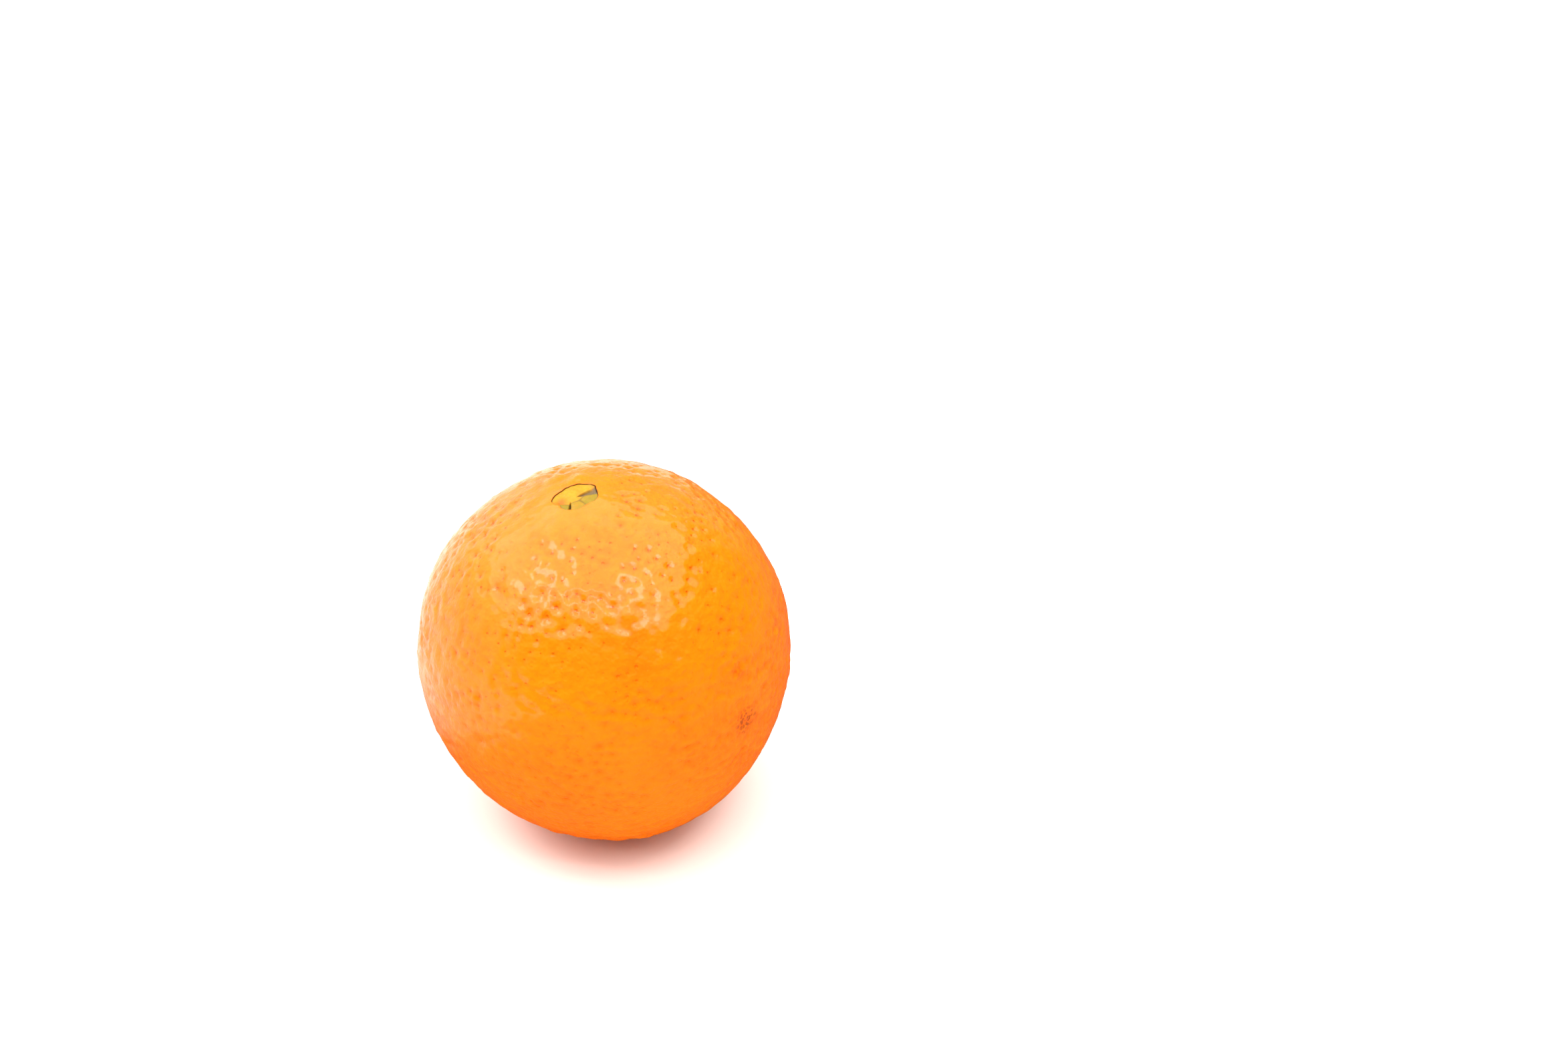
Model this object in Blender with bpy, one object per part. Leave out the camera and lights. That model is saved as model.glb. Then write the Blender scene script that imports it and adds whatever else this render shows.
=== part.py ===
# A whole navel orange, as picked: one grown solid with its navel on top and its stem end underneath,
# and the small woody button that the stem leaves behind. Metres, +Z up, -Y is the front.
import math

import bmesh
import bpy
from mathutils import Vector

# The fruit's body is an egg-round ellipsoid whose long axis leans towards -X.
FRUIT_WIDTH = 0.0760
FRUIT_LENGTH = 0.0786
BODY_LEAN = math.radians(15.7)
RESTING_SPOT_RADIUS = 0.0072

# The navel is a five-cornered opening in the skin, filled by the lobes of a second, tiny fruit.
NAVEL_LEAN_LEFT = math.radians(6.9)
NAVEL_LEAN_FORWARD = math.radians(1.4)
NAVEL_WIDTH = 0.0092
NAVEL_LIP = 0.0003
NAVEL_COLLAR = 0.0020
GROOVE_DEPTH = 0.0013
FRUITLET_SINK = 0.0005
FRUITLET_LOBES = 4
LOBE_CREASE = 0.0004

# The stem end is a shallow dish with a level seat, and the button sits on that seat.
STEM_LEAN = math.radians(24.0)
DISH_DEPTH = 0.0019
DISH_MARGIN = 0.0038
BUTTON_WIDTH = 0.0074
BUTTON_THICKNESS = 0.0012
BUTTON_LOBES = 5
BUTTON_NOTCH = 0.0007
SEAT_CLEARANCE = 0.0005
BUTTON_GAP = 0.0003
STUB_WIDTH = 0.0030
STUB_HEIGHT = 0.0005

# How finely the surfaces are divided. Navel rings are shares of the opening's outline: the lobes
# reach the third ring, and the groove round them is deepest at the fourth.
STEPS_ROUND = 60
NAVEL_RINGS = (0.25, 0.5, 0.75, 0.93, 1.0)
BODY_RINGS = 26
DISH_RINGS = 5
BUTTON_STEPS_ROUND = 40

# The line from the navel to the stem bends only this far in from its two ends, in radians.
STRAIGHT_ENDS = 0.35

# Corners and sides of the navel opening: degrees round it from +X towards +Y,
# and the distance from its middle as a share of half its width.
NAVEL_OUTLINE = [
    (0, 0.98),
    (47, 1.11),
    (80, 0.92),
    (110, 0.86),
    (135, 0.78),
    (187, 1.01),
    (222, 0.80),
    (255, 0.90),
    (318, 0.78),
    (344, 1.03),
]

# Broad, low swells and hollows of the body: direction, reach in radians and height.
SWELLS = [
    (Vector((0.33, -0.56, -0.76)), 0.45, 0.0004),
    (Vector((-0.64, 0.45, 0.62)), 0.35, -0.0004),
    (Vector((-0.88, 0.28, 0.38)), 0.40, 0.0003),
    (Vector((0.94, -0.20, -0.28)), 0.45, -0.0005),
    (Vector((0.20, 0.85, -0.30)), 0.60, 0.0004),
]

body_axis = Vector((-math.sin(BODY_LEAN), 0, math.cos(BODY_LEAN)))
navel_axis = Vector((-math.tan(NAVEL_LEAN_LEFT), -math.tan(NAVEL_LEAN_FORWARD), 1)).normalized()
stem_axis = Vector((math.sin(STEM_LEAN), 0, -math.cos(STEM_LEAN)))
mean_radius = (FRUIT_WIDTH + FRUIT_LENGTH) / 4
widest_corner = max(share for _, share in NAVEL_OUTLINE) * NAVEL_WIDTH / 2
collar_angle = (widest_corner + NAVEL_COLLAR) / mean_radius
seat_angle = (BUTTON_WIDTH / 2 + SEAT_CLEARANCE) / mean_radius
dish_angle = seat_angle + DISH_MARGIN / mean_radius


def smooth_step(low, high, value):
    share = min(max((value - low) / (high - low), 0), 1)
    return share * share * (3 - 2 * share)


def skin_radius(direction):
    """Distance from the fruit's middle to its skin, before the dish and the navel."""
    along = direction.dot(body_axis)
    across_squared = 1 - along * along
    radius = 1 / math.sqrt((2 * along / FRUIT_LENGTH) ** 2 + across_squared * (2 / FRUIT_WIDTH) ** 2)
    for swell, reach, height in SWELLS:
        away = direction.angle(swell)
        radius += height * math.exp(-((away / reach) ** 2))
    return radius


seat_height = skin_radius(stem_axis) - DISH_DEPTH


def dished_radius(direction):
    """Skin radius with the stem's dish: the level seat blends into the skin at the dish's edge."""
    radius = skin_radius(direction)
    away = direction.angle(stem_axis)
    if away < dish_angle:
        seat = seat_height / direction.dot(stem_axis)
        radius += (seat - radius) * (1 - smooth_step(seat_angle, dish_angle, away))
    return radius


def opening_radius(turn):
    """Half-width of the navel opening in the direction turn, eased between its corners and sides."""
    degrees = math.degrees(turn) % 360
    around = NAVEL_OUTLINE + [(NAVEL_OUTLINE[0][0] + 360, NAVEL_OUTLINE[0][1])]
    for (start, first), (end, last) in zip(around, around[1:]):
        if start <= degrees <= end:
            return (first + (last - first) * smooth_step(start, end, degrees)) * NAVEL_WIDTH / 2
    return NAVEL_WIDTH / 2


def direction_at(polar, turn):
    """Unit vector at a polar angle from the navel, round an axis that bends to meet the stem."""
    bend = smooth_step(STRAIGHT_ENDS, math.pi - STRAIGHT_ENDS, polar)
    axis = navel_axis.lerp(-stem_axis, bend).normalized()
    side = (Vector((1, 0, 0)) - axis * axis.x).normalized()
    back = axis.cross(side)
    return axis * math.cos(polar) + (side * math.cos(turn) + back * math.sin(turn)) * math.sin(polar)


def navel_depth(share, turn):
    """Depth under the skin inside the navel: lobes with creases between them, then a groove."""
    crease = 1 - abs(math.cos(turn * FRUITLET_LOBES / 2))
    lobes = FRUITLET_SINK + LOBE_CREASE * crease * math.sin(share * math.pi / 2)
    return lobes + (GROOVE_DEPTH - lobes) * smooth_step(NAVEL_RINGS[2], NAVEL_RINGS[3], share)


def navel_ring(share, depth_share):
    """One closed ring of points at a share of the opening's outline."""
    points = []
    for step in range(STEPS_ROUND):
        turn = math.tau * step / STEPS_ROUND
        polar = share * opening_radius(turn) / mean_radius
        direction = direction_at(polar, turn)
        depth = navel_depth(min(share, 1), turn) * depth_share
        points.append(direction * (skin_radius(direction) - depth))
    return points


def body_ring(polar):
    points = []
    for step in range(STEPS_ROUND):
        direction = direction_at(polar, math.tau * step / STEPS_ROUND)
        points.append(direction * dished_radius(direction))
    return points


def solid_of_rings(name, first_point, rings, last_point):
    """A closed solid skinned over rings of points, with a single point at each end."""
    model = bmesh.new()
    first = model.verts.new(first_point)
    loops = [[model.verts.new(point) for point in ring] for ring in rings]
    last = model.verts.new(last_point)
    count = len(rings[0])
    for step in range(count):
        after = (step + 1) % count
        model.faces.new((first, loops[0][step], loops[0][after]))
        for upper, lower in zip(loops, loops[1:]):
            model.faces.new((upper[step], lower[step], lower[after], upper[after]))
        model.faces.new((last, loops[-1][after], loops[-1][step]))
    bmesh.ops.recalc_face_normals(model, faces=model.faces)
    mesh = bpy.data.meshes.new(name)
    model.to_mesh(mesh)
    model.free()
    piece = bpy.data.objects.new(name, mesh)
    bpy.context.scene.collection.objects.link(piece)
    return piece


def flatten_underneath(piece, height):
    """Slices the bottom off level at this height and closes the cut: the spot it rests on."""
    model = bmesh.new()
    model.from_mesh(piece.data)
    everything = model.verts[:] + model.edges[:] + model.faces[:]
    cut = bmesh.ops.bisect_plane(
        model,
        geom=everything,
        dist=1e-6,
        plane_co=(0, 0, height),
        plane_no=(0, 0, -1),
        clear_outer=True,
    )
    rim = [part for part in cut["geom_cut"] if isinstance(part, bmesh.types.BMEdge)]
    bmesh.ops.contextual_create(model, geom=rim)
    bmesh.ops.recalc_face_normals(model, faces=model.faces)
    model.to_mesh(piece.data)
    model.free()


def make_fruit():
    """The whole grown fruit as one solid, about its own middle."""
    rings = [navel_ring(share, 1) for share in NAVEL_RINGS]
    rings.append(navel_ring(1 + 2 * NAVEL_LIP / NAVEL_WIDTH, 0))
    body_angle = math.pi - dish_angle - collar_angle
    for step in range(BODY_RINGS):
        rings.append(body_ring(collar_angle + body_angle * step / BODY_RINGS))
    for step in range(DISH_RINGS):
        slope = 1 - step / (DISH_RINGS - 1)
        rings.append(body_ring(math.pi - seat_angle - (dish_angle - seat_angle) * slope))
    rings.append(body_ring(math.pi - seat_angle / 2))
    top = navel_axis * (skin_radius(navel_axis) - FRUITLET_SINK)
    return solid_of_rings("fruit", top, rings, stem_axis * seat_height)


def button_ring(width, height, notch):
    """A five-lobed outline at this height over the seat."""
    points = []
    for step in range(BUTTON_STEPS_ROUND):
        turn = math.tau * step / BUTTON_STEPS_ROUND
        radius = width / 2 - notch * (1 - abs(math.cos(turn * BUTTON_LOBES / 2)))
        points.append(Vector((radius * math.cos(turn), radius * math.sin(turn), height)))
    return points


def make_button():
    """The dried calyx: a thin five-lobed disc with the short, hollow stub of the stem in its middle."""
    rings = [
        button_ring(BUTTON_WIDTH * 0.9, 0, BUTTON_NOTCH),
        button_ring(BUTTON_WIDTH, BUTTON_THICKNESS * 0.3, BUTTON_NOTCH),
        button_ring(BUTTON_WIDTH * 0.96, BUTTON_THICKNESS * 0.6, BUTTON_NOTCH),
        button_ring((BUTTON_WIDTH + STUB_WIDTH) / 2, BUTTON_THICKNESS * 0.9, BUTTON_NOTCH / 2),
        button_ring(STUB_WIDTH * 1.15, BUTTON_THICKNESS, 0),
        button_ring(STUB_WIDTH, BUTTON_THICKNESS + STUB_HEIGHT, 0),
    ]
    bottom = Vector((0, 0, 0))
    top = Vector((0, 0, BUTTON_THICKNESS + STUB_HEIGHT * 0.5))
    return solid_of_rings("stem_button", bottom, rings, top)


def finish_with(piece, name, colour, roughness):
    """Gives a piece its material and smooth shading, with the crisp edges kept."""
    material = bpy.data.materials.new(name)
    material.use_nodes = True
    shader = material.node_tree.nodes["Principled BSDF"]
    shader.inputs["Base Color"].default_value = (*colour, 1)
    shader.inputs["Roughness"].default_value = roughness
    shader.inputs["Metallic"].default_value = 0
    material.diffuse_color = (*colour, 1)
    piece.data.materials.append(material)
    piece.data.shade_smooth()
    piece.data.set_sharp_from_angle(angle=math.radians(40))


for thing in list(bpy.data.objects):
    bpy.data.objects.remove(thing)

fruit = make_fruit()
underside = skin_radius(Vector((0, 0, -1)))
resting_height = -math.sqrt(underside**2 - RESTING_SPOT_RADIUS**2)
flatten_underneath(fruit, resting_height)
finish_with(fruit, "peel", (0.93, 0.29, 0.01), 0.38)

button = make_button()
button.location = stem_axis * (seat_height + BUTTON_GAP)
button.rotation_mode = "QUATERNION"
button.rotation_quaternion = Vector((0, 0, 1)).rotation_difference(stem_axis)
finish_with(button, "dry_stem", (0.20, 0.19, 0.06), 0.75)

# The origin is under the middle of the fruit's box, on the surface that it rests on.
corners = [vertex.co for vertex in fruit.data.vertices]
middle = Vector((0, 0, -resting_height))
for side in (0, 1):
    middle[side] = -(min(corner[side] for corner in corners) + max(corner[side] for corner in corners)) / 2
orange = bpy.data.objects.new("orange", None)
bpy.context.scene.collection.objects.link(orange)
orange.location = middle
fruit.parent = orange
button.parent = orange
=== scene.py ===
# A whole navel orange: its peel, the tiny second fruit in its navel, and the dried stem button underneath.
import bpy
import math
import numpy as np
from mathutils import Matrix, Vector


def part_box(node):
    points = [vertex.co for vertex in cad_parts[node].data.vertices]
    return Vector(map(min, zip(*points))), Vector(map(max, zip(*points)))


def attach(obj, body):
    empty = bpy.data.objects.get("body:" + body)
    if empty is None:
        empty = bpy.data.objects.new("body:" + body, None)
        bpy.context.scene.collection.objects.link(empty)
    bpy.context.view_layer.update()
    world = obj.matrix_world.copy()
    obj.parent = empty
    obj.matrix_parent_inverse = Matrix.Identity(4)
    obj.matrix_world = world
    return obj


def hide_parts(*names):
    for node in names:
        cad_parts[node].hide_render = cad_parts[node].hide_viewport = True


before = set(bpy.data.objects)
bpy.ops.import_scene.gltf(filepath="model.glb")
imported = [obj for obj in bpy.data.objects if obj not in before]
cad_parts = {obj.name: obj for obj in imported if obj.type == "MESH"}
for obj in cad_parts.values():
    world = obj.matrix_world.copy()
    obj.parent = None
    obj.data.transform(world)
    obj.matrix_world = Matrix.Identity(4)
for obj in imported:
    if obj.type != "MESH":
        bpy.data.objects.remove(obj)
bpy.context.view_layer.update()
mm = 0.001
print("frame loaded")


# shape helpers that every piece shares

def unit(vectors):
    # each vector divided by its own length
    return vectors / np.linalg.norm(vectors, axis=-1, keepdims=True)


def smoothStep(low, high, value):
    # 3x^2 - 2x^3 of the share of the way from low to high, held at 0 and 1 outside
    share = np.clip((value - low) / (high - low), 0, 1)
    return share * share * (3 - 2 * share)


waveSpread = (0.72, 1.33)  # one wave's length is the layer's, divided by a share between these


def waves(points, layer):
    # sum of plane sine waves in random directions, about -1 to 1, each within a third of the layer's length
    dice = np.random.default_rng(layer["seed"])
    count = layer["count"]
    headings = unit(dice.normal(size=(count, 3))) * np.array(layer.get("stretch", (1, 1, 1)))
    headings = headings * dice.uniform(*waveSpread, (count, 1))
    starts = dice.uniform(0, math.tau, count)
    total = np.zeros(points.shape[:-1])
    for heading, start in zip(headings, starts):
        total += np.sin(points @ heading * (math.tau / layer["length"]) + start)
    return total / math.sqrt(count)


def ripple(turn, parts):
    # sum of sine waves round the turn, each given as its height, how many go round and where it starts
    return sum(height * np.sin(count * turn + start) for height, count, start in parts)


def skinOverRings(name, first, rings, last):
    # closed mesh over a grid of rings (rows, steps, xyz), with one point at each end
    rows, steps = rings.shape[:2]
    points = np.concatenate([first[None], rings.reshape(-1, 3), last[None]])
    step = np.arange(steps)
    after = (step + 1) % steps
    row = np.arange(rows - 1)[:, None] * steps + 1
    quads = np.stack([row + step, row + steps + step, row + steps + after, row + after], axis=-1)
    lastRing = 1 + (rows - 1) * steps
    topFan = np.stack([np.zeros(steps, int), 1 + step, 1 + after], axis=-1)
    endFan = np.stack([np.full(steps, len(points) - 1), lastRing + after, lastRing + step], axis=-1)
    corners = np.concatenate([topFan.ravel(), quads.ravel(), endFan.ravel()])
    sizes = np.concatenate([np.full(steps, 3), np.full(quads.size // 4, 4), np.full(steps, 3)])
    mesh = bpy.data.meshes.new(name)
    mesh.vertices.add(len(points))
    mesh.vertices.foreach_set("co", points.astype(np.float32).ravel())
    mesh.loops.add(len(corners))
    mesh.loops.foreach_set("vertex_index", corners.astype(np.int32))
    mesh.polygons.add(len(sizes))
    mesh.polygons.foreach_set("loop_start", (np.cumsum(sizes) - sizes).astype(np.int32))
    mesh.update(calc_edges=True)
    mesh.validate()
    mesh.shade_smooth()
    piece = bpy.data.objects.new(name, mesh)
    bpy.context.scene.collection.objects.link(piece)
    return piece


def markPoints(piece, name, values):
    # stores one number or one vector for every point of the piece
    kind, field = ("FLOAT_VECTOR", "vector") if values.ndim == 2 else ("FLOAT", "value")
    attribute = piece.data.attributes.new(name, kind, "POINT")
    attribute.data.foreach_set(field, values.astype(np.float32).ravel())


# the smooth body that the peel, the navel and the stem end follow

cadLow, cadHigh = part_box("fruit")
buttonLow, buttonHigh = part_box("stem_button")
body = {
    "width": cadHigh.x - cadLow.x,
    "lengthPerWidth": 1.0345,
    "lean": 15.7,  # degrees, the long axis towards -X
    "sampleSpots": 20000,  # for finding the body's own box
    "swells": [  # direction, reach in radians, height
        ((0.33, -0.56, -0.76), 0.45, 0.4 * mm),
        ((-0.64, 0.45, 0.62), 0.35, -0.4 * mm),
        ((-0.88, 0.28, 0.38), 0.40, 0.3 * mm),
        ((0.94, -0.20, -0.28), 0.45, -0.5 * mm),
        ((0.20, 0.85, -0.30), 0.60, 0.4 * mm),
    ],
}
lean = math.radians(body["lean"])
bodyAxis = np.array([-math.sin(lean), 0, math.cos(lean)])
bodyWidth = body["width"]
bodyLength = bodyWidth * body["lengthPerWidth"]
meanRadius = (bodyWidth + bodyLength) / 4


def bodyRadius(directions):
    # ellipsoid radius along each direction, plus a few broad bell-shaped swells and hollows
    along = directions @ bodyAxis
    radius = 1 / np.sqrt((2 * along / bodyLength) ** 2 + (1 - along ** 2) * (2 / bodyWidth) ** 2)
    for heading, reach, height in body["swells"]:
        away = np.arccos(np.clip(directions @ unit(np.array(heading)), -1, 1))
        radius = radius + height * np.exp(-((away / reach) ** 2))
    return radius


def spiralDirections(count):
    # evenly spread directions on a golden-angle spiral
    index = np.arange(count) + 0.5
    height = 1 - 2 * index / count
    turn = index * math.pi * (3 - math.sqrt(5))
    flat = np.sqrt(1 - height ** 2)
    return np.stack([flat * np.cos(turn), flat * np.sin(turn), height], axis=-1)


sample = spiralDirections(body["sampleSpots"])
sample = sample * bodyRadius(sample)[:, None]
bodyCentre = np.array([
    (cadLow.x + cadHigh.x - sample[:, 0].min() - sample[:, 0].max()) / 2,
    (cadLow.y + cadHigh.y - sample[:, 1].min() - sample[:, 1].max()) / 2,
    cadHigh.z - sample[:, 2].max(),
])
restingHeight = cadLow.z
stemAxis = unit(np.array((buttonLow + buttonHigh) / 2) - bodyCentre)


# the navel, its outline and the way round the fruit from navel to stem

navel = {
    "leanLeft": 6.9,  # degrees from straight up
    "leanForward": 1.4,
    "halfWidth": 4.6 * mm,
    "outline": [  # degrees from +X towards +Y, share of the half width
        (0, 0.98), (24, 1.02), (47, 1.13), (64, 0.96), (90, 0.91), (110, 0.83),
        (135, 0.76), (160, 0.83), (187, 1.02), (205, 0.89), (222, 0.80), (238, 0.89),
        (262, 0.90), (290, 0.89), (318, 0.77), (345, 1.03),
    ],
    "softening": 8,  # degrees to either side that round a corner of the outline
    "softeningSteps": 9,
    "wobble": [(0.012, 9, 1.0), (0.0072, 17, 2.2)],  # share of the half width, how many round, start
    "lip": 0.11 * mm,
    "wall": 2.4 * mm,
    "floorShares": (0.2, 0.88),  # first and last row of the floor, as shares of the opening
    "wallFoot": (0.955, 0.93),  # share of the opening and of the wall's depth where the wall starts
    "rimRise": 0.10 * mm,
    "rimReach": 1.6,  # mm
    "shadeFall": 2.2,  # how fast the dark edge ends over the lip
    "collar": 7.6 * mm,
}
stemEnd = {
    "dishDepth": 1.9 * mm,
    "seatRadius": 4.2 * mm,
    "dishMargin": 3.8 * mm,
    "leastFacing": 0.2,  # keeps the level seat from running off to the far side
    "reliefFrom": 7 * mm,
    "furrows": 6,
    "furrowDepth": 0.30 * mm,
    "furrowBend": [(0.5, 2, 1)],
    "furrowOuter": (13 * mm, 6.5 * mm),  # none and full, from the stem's axis
    "furrowInner": (4 * mm, 6 * mm),
}
navelAxis = unit(np.array([
    -math.tan(math.radians(navel["leanLeft"])), -math.tan(math.radians(navel["leanForward"])), 1,
]))
seatAngle = stemEnd["seatRadius"] / meanRadius
dishAngle = seatAngle + stemEnd["dishMargin"] / meanRadius
straightEnds = 0.35  # radians from either end before the axis bends


def directionsAt(polar, turn):
    # unit vectors at a polar angle from the navel, round an axis that bends to meet the stem
    bend = smoothStep(straightEnds, math.pi - straightEnds, polar)[..., None]
    axis = unit(navelAxis * (1 - bend) - stemAxis * bend)
    side = unit(np.array([1.0, 0, 0]) - axis * axis[..., :1])
    back = np.cross(axis, side)
    around = side * np.cos(turn)[..., None] + back * np.sin(turn)[..., None]
    return axis * np.cos(polar)[..., None] + around * np.sin(polar)[..., None]


def openingRadius(turn):
    # straight runs of radius between the outline's corners, rounded a little and given a fine wobble
    degrees = [corner for corner, _ in navel["outline"]] + [360]
    shares = [share for _, share in navel["outline"]] + [navel["outline"][0][1]]
    fan = np.linspace(-navel["softening"], navel["softening"], navel["softeningSteps"])
    share = np.mean([np.interp((np.degrees(turn) + nudge) % 360, degrees, shares) for nudge in fan], axis=0)
    return (share + ripple(turn, navel["wobble"])) * navel["halfWidth"]


def dishedRadius(directions):
    # the body's radius, blended into a level seat round the stem axis
    radius = bodyRadius(directions)
    seatHeight = bodyRadius(stemAxis) - stemEnd["dishDepth"]
    facing = np.clip(directions @ stemAxis, stemEnd["leastFacing"], 1)
    away = np.arccos(facing)
    blend = 1 - smoothStep(seatAngle, dishAngle, away)
    return radius + (seatHeight / facing - radius) * blend


# pores: soft dimples scattered over the whole peel

pores = {
    "count": 3500,
    "seed": 11,
    "spreadSteps": 5,
    "spreadReach": 1.25,  # how near a neighbour pushes, in mean spacings
    "spreadPush": 0.35,
    "spreadNeighbours": 3,  # about how many push at once
    "closest": 1.80 * mm,
    "size": (0.42, 1.15),
    "dimpleRadius": 0.80 * mm,
    "dimpleDepth": 0.42 * mm,
    "quietNavel": (5.5 * mm, 12 * mm),  # faintest and full, from the navel's middle
    "quietStem": (5 * mm, 9 * mm),
    "quietDepth": 0.12,
    "quietSize": 0.25,
    "patches": {"length": 18 * mm, "count": 16, "seed": 7},  # where they are deeper or fainter
    "patchDepth": (0.75, 0.35),  # mean and swing
    "patchLimits": (0.25, 1.4),
}


def scatterOverSphere(count, seed, steps):
    # random points, each pushed away from its near neighbours a few times
    dice = np.random.default_rng(seed)
    spots = unit(dice.normal(size=(count, 3)))
    reach = pores["spreadReach"] * math.sqrt(4 * math.pi / count)
    for _ in range(steps):
        gap = np.sqrt(np.maximum(2 - 2 * spots @ spots.T, 1e-12))
        push = np.clip(1 - gap / reach, 0, 1) / gap
        np.fill_diagonal(push, 0)
        away = spots * push.sum(1)[:, None] - push @ spots
        spots = unit(spots + pores["spreadPush"] * reach * away / pores["spreadNeighbours"])
    gap = np.sqrt(np.maximum(2 - 2 * spots @ spots.T, 0)) * meanRadius
    crowded = (np.triu(gap < pores["closest"], 1)).any(0)
    return spots[~crowded]


def dimpleField(directions, spots, sizes, chunk=8192):
    # sum of bell-shaped dimples round the spots, and which spot is nearest and how far away it is
    depth, nearest, distance = [], [], []
    for start in range(0, len(directions), chunk):
        facing = directions[start:start + chunk].astype(np.float32) @ spots.T.astype(np.float32)
        gap = np.sqrt(np.maximum(2 - 2 * facing, 0)) * meanRadius
        depth.append((sizes * np.exp(-((gap / (pores["dimpleRadius"] * sizes)) ** 2))).sum(1))
        nearest.append(gap.argmin(1))
        distance.append(gap.min(1))
    return np.concatenate(depth), np.concatenate(nearest), np.concatenate(distance)


poreSpots = scatterOverSphere(pores["count"], pores["seed"], pores["spreadSteps"])
poreDice = np.random.default_rng(pores["seed"] + 1)
poreSizes = poreDice.uniform(*pores["size"], len(poreSpots)).astype(np.float32)
print("pores scattered:", len(poreSpots))


# the peel

peel = {
    "stepsRound": 432,
    "floorRows": 4,
    "wallRows": 5,
    "lipRows": 7,
    "collarRows": 14,
    "bodyRows": 172,
    "dishRows": 16,
    "seatRows": 4,
    "rolling": {"length": 15 * mm, "count": 24, "seed": 3},
    "rollingHeight": 0.10 * mm,
    "lumps": {"length": 5.0 * mm, "count": 40, "seed": 4},
    "lumpHeight": 0.070 * mm,
    "ridges": {"length": 2.4 * mm, "count": 60, "seed": 6, "stretch": (0.55, 0.55, 1.25)},
    "ridgeHeight": 0.110 * mm,
    "ridgePatches": {"length": 13 * mm, "count": 20, "seed": 5},
    "ridgePatchEdge": 1.5,
    "restRounding": 0.12 * mm,  # how softly the skin meets the surface it rests on
}


def peelRelief(directions, turn):
    # rolling swells, lumps and short level ridges, less the dimples; none inside the navel or on the seat
    shape = directions.shape[:2]
    flat = directions.reshape(-1, 3)
    points = flat * meanRadius
    relief = peel["rollingHeight"] * waves(points, peel["rolling"])
    relief += peel["lumpHeight"] * waves(points, peel["lumps"])
    patchy = 0.5 + 0.5 * np.tanh(peel["ridgePatchEdge"] * waves(points, peel["ridgePatches"]))
    ridges = peel["ridgeHeight"] * patchy * waves(points, peel["ridges"])
    depth, nearest, distance = dimpleField(flat, poreSpots, poreSizes)
    fromNavel = np.arccos(np.clip(flat @ navelAxis, -1, 1)) * meanRadius
    fromStem = np.arccos(np.clip(flat @ stemAxis, -1, 1)) * meanRadius
    quiet = smoothStep(*pores["quietNavel"], fromNavel) * smoothStep(*pores["quietStem"], fromStem)
    mean, swing = pores["patchDepth"]
    uneven = np.clip(mean + swing * waves(points, pores["patches"]), *pores["patchLimits"])
    shown = pores["quietDepth"] + (1 - pores["quietDepth"]) * quiet
    ridges -= pores["dimpleDepth"] * depth * shown * uneven
    relief += ridges
    crests = ridges / mm
    relief *= smoothStep(seatAngle * meanRadius, stemEnd["reliefFrom"], fromStem)
    around = turn.ravel()
    furrow = np.abs(np.sin(around * stemEnd["furrows"] / 2 + ripple(around, stemEnd["furrowBend"])))
    nearStem = smoothStep(*stemEnd["furrowOuter"], fromStem) * smoothStep(*stemEnd["furrowInner"], fromStem)
    relief -= stemEnd["furrowDepth"] * nearStem * (1 - furrow) ** 2
    return [values.reshape(shape) for values in (relief, crests, nearest, distance, quiet)]


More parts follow.
